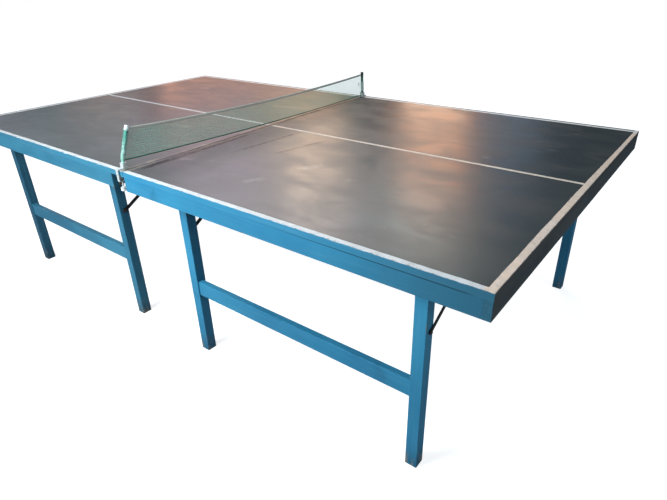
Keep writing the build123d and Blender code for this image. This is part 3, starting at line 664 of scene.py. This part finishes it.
def new_piece(name, verts, faces, material, smooth=True):
    """Object with a mesh of its own and one material."""
    mesh = bpy.data.meshes.new(name)
    mesh.from_pydata([tuple(v) for v in verts], [], faces)
    mesh.validate()
    mesh.materials.append(material)
    if smooth:
        mesh.shade_smooth()
    piece = bpy.data.objects.new(name, mesh)
    bpy.context.scene.collection.objects.link(piece)
    return piece


def add_skin(faces, base, rings, sides):
    """Adds the faces between rings of vertices that follow one another from base."""
    for i in range(rings - 1):
        here = base + i * sides
        ahead = here + sides
        for k in range(sides):
            n = (k + 1) % sides
            faces.append((here + k, here + n, ahead + n, ahead + k))


def tangents(line):
    """Direction of a line at each of its points."""
    last = len(line) - 1
    return [(line[min(i + 1, last)] - line[max(i - 1, 0)]).normalized() for i in range(last + 1)]


def add_tube(verts, faces, line, radius, sides):
    """Adds a round tube along a line, capped at its ends."""
    base = len(verts)
    count = len(line)
    for point, t in zip(line, tangents(line)):
        a = t.cross(X_AXIS)
        if a.length < 0.2:
            a = t.cross(Vector((0, 0, 1)))
        a.normalize()
        b = t.cross(a)
        for k in range(sides):
            angle = 2 * math.pi * k / sides
            verts.append(point + (a * math.cos(angle) + b * math.sin(angle)) * radius)
    add_skin(faces, base, count, sides)
    faces.append(tuple(base + k for k in reversed(range(sides))))
    faces.append(tuple(base + (count - 1) * sides + k for k in range(sides)))


def thicken(piece, thickness):
    """Gives cloth its thickness on the inner side."""
    piece.modifiers.new("thickness", "SOLIDIFY").thickness = thickness


def add_knot(verts, faces, centre, radius):
    """Adds one small knot as an eight-sided lump."""
    base = len(verts)
    steps = (Vector((1.1, 0, 0)), Vector((0, 1, 0)), Vector((0, 0, 1)))
    for step in steps:
        verts.append(centre + step * radius)
        verts.append(centre - step * radius)
    for i in (0, 1):
        for j in (2, 3):
            for k in (4, 5):
                flip = (i + j + k) % 2
                trio = (base + i, base + j, base + k)
                faces.append(trio if flip == 0 else trio[::-1])


# ---------------------------------------------------------------- the net


def net_edges():
    """Top and bottom edges of the CAD cloth as functions of t, 0 at the front and 1 at the rear."""
    points = sorted((v.co.y, v.co.z) for v in NODES["net_cloth"].data.vertices)
    low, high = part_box("net_cloth")
    middle_z = (low.z + high.z) / 2
    upper = [p for p in points if p[1] > middle_z]
    lower = [p for p in points if p[1] <= middle_z]

    def curve(edge):
        first, last = edge[0][0], edge[-1][0]

        def at(t):
            y = first + (last - first) * t
            for a, b in zip(edge, edge[1:]):
                if b[0] >= y and b[0] > a[0]:
                    share = (y - a[0]) / (b[0] - a[0])
                    return y, a[1] + (b[1] - a[1]) * max(0.0, min(1.0, share))
            return edge[-1]

        return at

    return curve(upper), curve(lower)


TOP_EDGE, BOTTOM_EDGE = net_edges()


def net_plane():
    """X of the net's plane as a function of Y, from the posts it hangs between."""
    ends = []
    for post in ("front_post", "rear_post"):
        low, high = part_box(post)
        ends.append(((low.y + high.y) / 2, (low.x + high.x) / 2))
    (y0, x0), (y1, x1) = ends
    return lambda y: x0 + (x1 - x0) * (y - y0) / (y1 - y0)


NET_X = net_plane()


def net_point(t, v):
    """Point of the hung net: t from front to rear, v from 0 at the tape to 1 at the cord."""
    y0, z0 = TOP_EDGE(t)
    y1, z1 = BOTTOM_EDGE(t)
    free = math.sin(math.pi * min(1, max(0, t))) ** 0.5 * math.sin(math.pi * (0.15 + 0.8 * v))
    wave = noise.noise(Vector((t * 7.0, v * 1.1, 3.0)))
    wave += 0.5 * noise.noise(Vector((t * 23.0, v * 2.3, 9.0)))
    y = y0 + (y1 - y0) * v
    return Vector((NET_X(y) + NET_WAVE * free * wave * 2, y, z0 + (z1 - z0) * v))


def make_netting(material):
    """Knotted netting: upright and level threads, with a knot at every crossing."""
    length = TOP_EDGE(1.0)[0] - TOP_EDGE(0.0)[0]
    depth = (net_point(0.5, 0) - net_point(0.5, 1)).length
    columns, rows = round(length / NET_PITCH), round(depth / NET_PITCH)
    grid = [[None] * (rows + 1) for _ in range(columns + 1)]
    for i in range(columns + 1):
        for j in range(rows + 1):
            slip = Vector((RNG.uniform(-1, 1) * 0.5, RNG.uniform(-1, 1), RNG.uniform(-1, 1)))
            inside = 0 < i < columns and 0 < j < rows
            grid[i][j] = net_point(i / columns, j / rows) + (slip * KNOT_SLIP if inside else Vector())
    verts, faces = [], []
    for column in grid:
        add_tube(verts, faces, column, THREAD_RADIUS, THREAD_SIDES)
    for j in range(rows + 1):
        add_tube(verts, faces, [column[j] for column in grid], THREAD_RADIUS, THREAD_SIDES)
    for column in grid:
        for point in column:
            add_knot(verts, faces, point, KNOT_RADIUS)
    piece = new_piece("netting", verts, faces, material)
    threads = columns * rows * (length / columns + depth / rows)
    return piece, threads, (depth, length)


def tape_profile():
    """Outline of the folded tape, across and up: a round fold on top, open below."""
    profile = []
    for k in range(9):
        angle = math.pi * k / 8
        rise = TAPE_HEIGHT - TAPE_HALF + TAPE_HALF * math.sin(angle)
        profile.append((TAPE_HALF * math.cos(angle), rise))
    back = [(1.0, TAPE_HEIGHT * 0.5), (0.72, 0.0008), (0.5, 0.0)]
    profile += [(-share * TAPE_HALF, rise) for share, rise in back]
    profile += [(share * TAPE_HALF, rise) for share, rise in reversed(back)]
    return profile


def make_tape(material):
    """Folded tape along the net's top edge, slightly puckered."""
    steps = 240
    profile = tape_profile()
    count = len(profile)
    verts, faces = [], []
    for i in range(steps + 1):
        y, z = TOP_EDGE(i / steps)
        pucker = 0.0003 * math.sin(i * 2.1) + 0.0005 * noise.noise(Vector((i * 0.13, 0, 0)))
        lean = 0.0016 * noise.noise(Vector((i * 0.045, 5.0, 0)))
        for across, up in profile:
            x = NET_X(y) + across * (1 + 180 * abs(pucker)) + lean * up / TAPE_HEIGHT
            verts.append(Vector((x, y, z + up * (1.0 + pucker * 40))))
    add_skin(faces, 0, steps + 1, count)
    faces.append(tuple(reversed(range(count))))
    faces.append(tuple(steps * count + k for k in range(count)))
    return new_piece("top_tape", verts, faces, material)


def make_stitches(material):
    """A row of stitches on each face of the tape."""
    verts, faces = [], []
    for i in range(STITCHES):
        first = (i + 0.2) / STITCHES
        last = (i + 0.8) / STITCHES
        for face in (-1, 1):
            line = []
            for t, bulge in ((first, -0.0001), ((first + last) / 2, 0.0003), (last, -0.0001)):
                y, z = TOP_EDGE(t)
                line.append(Vector((NET_X(y) + face * (TAPE_HALF * 1.05 + bulge), y, z + STITCH_RISE)))
            add_tube(verts, faces, line, STITCH_RADIUS, THREAD_SIDES)
    return new_piece("tape_stitches", verts, faces, material)


def make_bottom_cord(material):
    """Two-strand twisted cord run through the net's lowest meshes."""
    length = BOTTOM_EDGE(1.0)[0] - BOTTOM_EDGE(0.0)[0]
    turns = length / CORD_PITCH
    steps = round(turns * 8)
    verts, faces = [], []
    for strand in (0.0, math.pi):
        line = []
        for i in range(steps + 1):
            t = i / steps
            y, z = BOTTOM_EDGE(t)
            angle = 2 * math.pi * turns * t + strand
            offset = Vector((math.cos(angle), 0, math.sin(angle))) * CORD_STRAND_OFFSET
            line.append(Vector((NET_X(y), y, z - CORD_DROP)) + offset)
        add_tube(verts, faces, line, CORD_STRAND_RADIUS, 8)
    return new_piece("bottom_cord", verts, faces, material)


def post_axis(node):
    """Where a post's leaning part starts and ends, as two points."""
    points = [v.co for v in NODES[node].data.vertices]
    low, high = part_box(node)
    centre_x = (low.x + high.x) / 2
    foot = min(point.z for point in points)
    ring = [point.y for point in points if point.z < foot + 0.0005]
    start = Vector((centre_x, sum(ring) / len(ring), POST_BEND_Z))
    far = max((point - start).length for point in points)
    tip = [point for point in points if (point - start).length > far - 0.0015]
    top = sum(tip, Vector()) / len(tip)
    return start, Vector((centre_x, top.y, top.z))


def make_sleeve(name, node, span, material):
    """Cloth sleeve of the net's end, wrinkled where it is pushed over the post."""
    start, top = post_axis(node)
    other = (top - start).normalized().cross(X_AXIS)
    rings, sides = 46, 28
    verts, faces = [], []
    for i in range(rings + 1):
        t = span[0] + (span[1] - span[0]) * i / rings
        centre = start + (top - start) * t
        for k in range(sides):
            angle = 2 * math.pi * k / sides
            a, b = math.cos(angle), math.sin(angle)
            fold = noise.noise(Vector((a * 1.3, b * 1.3, t * 16.0)))
            ripple = noise.noise(Vector((a * 0.6, b * 0.6, t * 42.0 + 7)))
            radius = SLEEVE_RADIUS + 0.0010 * fold + 0.0006 * ripple
            verts.append(centre + (X_AXIS * a + other * b) * radius)
    add_skin(faces, 0, rings + 1, sides)
    piece = new_piece(name, verts, faces, material)
    thicken(piece, SLEEVE_CLOTH)
    return piece, (top - start).length * (span[1] - span[0])


def make_end_loops(name, node, end, material):
    """Loops of net thread drawn round a post from each row of meshes; end is 0 in front, 1 at the rear."""
    start, top = post_axis(node)
    axis = (top - start).normalized()
    out = axis.cross(X_AXIS)
    if out.y * (end - 0.5) < 0:
        out = -out
    verts, faces = [], []
    for j in range(LOOP_ROWS + 1):
        anchor = net_point(end, j / LOOP_ROWS)
        centre = start + axis * (anchor - start).dot(axis)
        line = [anchor]
        for k in range(13):
            angle = math.pi * (-0.5 + k / 12)
            line.append(centre + (X_AXIS * math.sin(angle) + out * math.cos(angle)) * LOOP_RADIUS)
        line.append(anchor)
        add_tube(verts, faces, line, THREAD_RADIUS, THREAD_SIDES)
    return new_piece(name, verts, faces, material)


def make_label(material):
    """Small blank tag sewn on near the net's rear end."""
    verts, faces = [], []
    across, down = 6, 10
    for j in range(down + 1):
        v = j / down
        for i in range(across + 1):
            u = i / across
            width = TAG_WIDTH * (0.55 + 0.45 * v)
            base = net_point(0.985, 0.28 + 0.22 * v)
            curl = 0.0016 + 0.0012 * math.sin(u * 3.0 + v * 2.0)
            verts.append(base + Vector((curl, (u - 0.5) * width, 0)))
    for j in range(down):
        for i in range(across):
            a = j * (across + 1) + i
            faces.append((a, a + 1, a + across + 2, a + across + 1))
    piece = new_piece("net_tag", verts, faces, material)
    thicken(piece, TAG_CLOTH)
    return piece


# ---------------------------------------------------------------- camera, floor and light

CAMERA_PLACE = Vector((1.6657, -1.6784, 1.3505))
CAMERA_YAW = math.radians(38.24)
CAMERA_PITCH = math.radians(27.9)
CAMERA_ROLL = math.radians(1.48)
LENS_MM = 27.79
SENSOR_MM = 36.0

scene = bpy.context.scene
camera_data = bpy.data.cameras.new("camera")
camera_data.sensor_width = SENSOR_MM
camera_data.lens = LENS_MM
camera = bpy.data.objects.new("camera", camera_data)
scene.collection.objects.link(camera)
turn = Matrix.Rotation(CAMERA_YAW, 4, "Z") @ Matrix.Rotation(math.pi / 2 - CAMERA_PITCH, 4, "X")
camera.matrix_world = Matrix.Translation(CAMERA_PLACE) @ turn @ Matrix.Rotation(-CAMERA_ROLL, 4, "Z")
scene.camera = camera
scene.view_settings.view_transform = "Standard"


def area_light(name, place, target, size, power, colour, in_sheen=True):
    """Rectangular light aimed at a target. Only those in the sheen are mirrored by glossy paint."""
    data = bpy.data.lights.new(name, "AREA")
    data.shape = "RECTANGLE"
    data.size, data.size_y = size
    data.energy = power
    data.color = colour
    light = bpy.data.objects.new(name, data)
    light.visible_camera = False
    light.visible_glossy = in_sheen
    scene.collection.objects.link(light)
    direction = Vector(target) - Vector(place)
    aim = direction.to_track_quat("-Z", "Y").to_matrix().to_4x4()
    light.matrix_world = Matrix.Translation(place) @ aim


area_light("key", (-0.10, -2.1, 1.60), (0.20, -0.76, 0.50), (1.2, 0.9), 52, (0.88, 0.97, 1.0), False)
area_light("front_fill", (-1.9, -4.6, 1.6), (-0.2, -0.5, 0.5), (2.4, 1.6), 38, (0.88, 0.95, 1.0), False)
area_light("side_fill", (4.4, -0.5, 2.2), (0.5, -0.2, 0.65), (1.8, 1.4), 32, (0.94, 0.92, 0.86))
area_light("overhead", (0.2, 0.0, 3.4), (0.2, 0.0, 0.76), (3.0, 2.0), 20, (1.0, 0.98, 0.95))

WATTS_PER_RADIANCE = math.pi  # of each square metre of a panel
GLOW_RING = 4.6
GLOW_CENTRE_X = 0.2
# Bright patches of a room seen in the table's sheen, as upright panels on a ring around it:
# bearing from +Y toward +X and half width in degrees, lower and upper height, radiance.
GLOW = (
    (-92, 8, 1.3, 3.2, (0.82, 0.78, 0.97)),
    (-75, 9, 1.5, 3.3, (0.81, 0.91, 0.96)),
    (-68, 8, 0.8, 1.5, (0.71, 0.30, 0.15)),
    (-54, 9, 0.8, 1.5, (2.45, 1.21, 0.76)),
    (-57, 9, 2.3, 3.3, (2.07, 1.47, 2.05)),
    (-55, 10, 3.3, 4.8, (5.4, 5.4, 5.4)),
    (-40, 5, 1.3, 2.2, (1.71, 0.69, 0.41)),
    (-40, 5, 2.2, 3.3, (6.5, 5.0, 3.32)),
    (-38, 7, 3.3, 4.8, (3.9, 3.9, 4.7)),
    (-22, 6, 3.0, 4.8, (3.6, 4.7, 4.6)),
    (-20, 5, 0.8, 1.5, (0.62, 2.9, 3.0)),
    (-20, 5, 1.5, 2.2, (5.32, 1.71, 0.43)),
    (-20, 5, 2.2, 3.0, (3.6, 1.04, 0.2)),
    (-9, 5, 1.0, 3.0, (0.3, 0.4, 0.55)),
)
for number, (bearing, half_width, low_z, high_z, radiance) in enumerate(GLOW):
    angle = math.radians(bearing)
    middle_z = (low_z + high_z) / 2
    place = (GLOW_CENTRE_X + GLOW_RING * math.sin(angle), GLOW_RING * math.cos(angle), middle_z)
    size = (2 * GLOW_RING * math.tan(math.radians(half_width)), high_z - low_z)
    strongest = max(radiance)
    tint = tuple(part / strongest for part in radiance)
    power = WATTS_PER_RADIANCE * size[0] * size[1] * strongest
    area_light("glow_" + str(number), place, (GLOW_CENTRE_X, 0.0, middle_z), size, power, tint)

SKY_DIFFUSE = 0.30
SKY_GLOSSY = 0.07


def studio_world():
    """White behind the table, a dim bluish room around it and a dimmer one in its sheen."""
    made = bpy.data.worlds.new("studio")
    made.use_nodes = True
    sky = made.node_tree
    sky.nodes.clear()
    ray_kind = sky.nodes.new("ShaderNodeLightPath").outputs
    strength = sky.nodes.new("ShaderNodeMapRange")
    strength.inputs["To Min"].default_value = SKY_DIFFUSE
    strength.inputs["To Max"].default_value = SKY_GLOSSY
    sky.links.new(ray_kind["Is Glossy Ray"], strength.inputs["Value"])
    room = sky.nodes.new("ShaderNodeBackground")
    room.inputs["Color"].default_value = rgb(0.44, 0.72, 1.0)
    sky.links.new(strength.outputs[0], room.inputs["Strength"])
    backdrop = sky.nodes.new("ShaderNodeBackground")
    backdrop.inputs["Color"].default_value = rgb(1.0, 1.0, 1.0)
    blend = sky.nodes.new("ShaderNodeMixShader")
    sky.links.new(ray_kind["Is Camera Ray"], blend.inputs[0])
    sky.links.new(room.outputs[0], blend.inputs[1])
    sky.links.new(backdrop.outputs[0], blend.inputs[2])
    sky_out = sky.nodes.new("ShaderNodeOutputWorld")
    sky.links.new(blend.outputs[0], sky_out.inputs[0])
    return made


scene.world = studio_world()


def floor_material():
    """Pale floor, kept light for the camera while it throws little light back under the table."""
    s = Shader("floor")
    cloud = s.noise(0.8, 3, 0.5)
    s.finish(s.mix(cloud, rgb(0.58, 0.58, 0.58), rgb(0.62, 0.62, 0.62)), 0.9, Specular_IOR_Level=0.1)
    away = s.node("VectorMath", s.point, operation="LENGTH").outputs["Value"]
    glow = s.node("Emission", rgb(1.0, 1.0, 1.0), s.fade(away, 2.5, 7.0, 0.78, 1.0))
    seen_by_camera = s.node("LightPath").outputs["Is Camera Ray"]
    shown = s.node("AddShader", s.bsdf.outputs[0], glow.outputs[0])
    quiet = s.node("BsdfDiffuse", rgb(0.26, 0.26, 0.27))
    pick = s.node("MixShader", seen_by_camera, quiet.outputs[0], shown.outputs[0])
    # seen from below it isn't there, so that the table's underside can be looked at
    from_below = s.node("NewGeometry").outputs["Backfacing"]
    clear = s.node("BsdfTransparent")
    both = s.node("MixShader", from_below, pick.outputs[0], clear.outputs[0])
    s.tree.links.new(both.outputs[0], s.tree.nodes["Material Output"].inputs[0])
    return s.material


FLOOR_HALF = 40.0
FLOOR_Z = -0.0005
corners = ((-1, -1), (1, -1), (1, 1), (-1, 1))
floor_corners = [Vector((x * FLOOR_HALF, y * FLOOR_HALF, FLOOR_Z)) for x, y in corners]
floor = new_piece("floor", floor_corners, [(0, 1, 2, 3)], floor_material(), False)

# ---------------------------------------------------------------- dress the CAD nodes

seed = 1
dull_steel = steel("stay_steel", rgb(0.085, 0.085, 0.095), 0.70, 0.42)
hinge_steel = steel("hinge_steel", rgb(0.16, 0.155, 0.15), 0.54, 0.45)
for half, side, blue in (("left", -1, LEFT_BLUE), ("right", 1, BLUE)):
    put(half + "_top_board", board_paint(half + "_top_board", side))
    for part in ("front_rail", "rear_rail"):
        seam = (half, part) == ("right", "front_rail")
        put(half + "_" + part, blue_paint(half + "_" + part, seed, blue, seam=seam))
        seed += 1
    put(half + "_end_rail", dark_paint(half + "_end_rail", seed))
    for part in ("inner_rail", "centre_batten", "hinge_battens"):
        put(half + "_" + part, bare_wood(half + "_" + part, seed))
        seed += 1
    for part in ("hinge_upper_leaves", "hinge_pins", "screws"):
        put(half + "_" + part, hinge_steel)
    put(half + "_stay_brackets", dull_steel)
    for place in ("front", "rear"):
        prefix = half + "_" + place + "_"
        for part in ("joint_leg", "end_leg", "stretcher"):
            # the left front end leg takes the darker blue: painted shade for the table's shadow over it
            tones = SHADED_BLUE if prefix + part == "left_front_end_leg" else blue
            put(prefix + part, blue_paint(prefix + part, seed, tones, floor_scuff=part != "stretcher"))
            seed += 1
        for part in ("hinge_lower_leaves", "leg_fixings"):
            put(prefix + part, hinge_steel)
        for part in ("stay_lower_links", "stay_upper_links"):
            put(prefix + part, dull_steel)

clamp_enamel = enamel("clamp_enamel", rgb(0.54, 0.57, 0.58), 0.86)
knob_plastic = moulded("knob_plastic", rgb(0.80, 0.83, 0.82), rgb(0.42, 0.40, 0.34))
for place in ("front", "rear"):
    put(place + "_clamp", clamp_enamel)
    put(place + "_clamp_screw", knob_plastic)
put("front_post", moulded("post_coating", rgb(0.30, 0.62, 0.52), rgb(0.14, 0.30, 0.25), 0.30))
put("rear_post", steel("post_steel", rgb(0.055, 0.060, 0.062), 0.66, 0.5))
put("post_caps", caps_material())

# ---------------------------------------------------------------- soft pieces

green_thread = fabric("green_thread", rgb(0.13, 0.58, 0.36), rgb(0.08, 0.42, 0.26), 1400, 0.62, 0.3)
tape_cloth = fabric("tape_cloth", rgb(0.80, 0.77, 0.68), rgb(0.60, 0.58, 0.50), 2600, 0.82, 0.2)
stitch_thread = fabric("stitch_thread", rgb(0.60, 0.62, 0.58), rgb(0.34, 0.35, 0.32), 3000, 0.8, 0.2)
dark_cord = fabric("dark_cord", rgb(0.040, 0.170, 0.090), rgb(0.014, 0.075, 0.040), 1800, 0.7, 0.1)
# Sleeve tones as upper colour, a paler lower colour that is a painted highlight, and the painted shade of
# the creases.
MINT = (rgb(0.10, 0.33, 0.27), rgb(0.36, 0.54, 0.50), rgb(0.06, 0.22, 0.18))
GREY = (rgb(0.42, 0.50, 0.48), rgb(0.56, 0.62, 0.60), rgb(0.24, 0.30, 0.28))
mint_cloth = sleeve_cloth("mint_cloth", *MINT, 0.79, 0.89)
grey_cloth = sleeve_cloth("grey_cloth", *GREY, 0.77, 0.83)

netting, thread_length, net_flat = make_netting(green_thread)
tape = make_tape(tape_cloth)
stitches = make_stitches(stitch_thread)
cord = make_bottom_cord(dark_cord)
front_sleeve, front_sleeve_length = make_sleeve("front_sleeve", "front_post", (0.06, 0.895), mint_cloth)
rear_sleeve, rear_sleeve_length = make_sleeve("rear_sleeve", "rear_post", (0.0, 0.55), grey_cloth)
front_loops = make_end_loops("front_loops", "front_post", 0, green_thread)
rear_loops = make_end_loops("rear_loops", "rear_post", 1, green_thread)
tag = make_label(tape_cloth)

for piece, slot in (
    (netting, "net_green"), (tape, "tape_white"), (stitches, "tape_white"), (cord, "cord_green"),
    (front_sleeve, "post_green"), (rear_sleeve, "post_grey"), (front_loops, "net_green"),
    (rear_loops, "net_green"), (tag, "tape_white"),
):
    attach(piece, "left_half")
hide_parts("net_cloth")
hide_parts("net_top_tape")
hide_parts("net_bottom_cord")
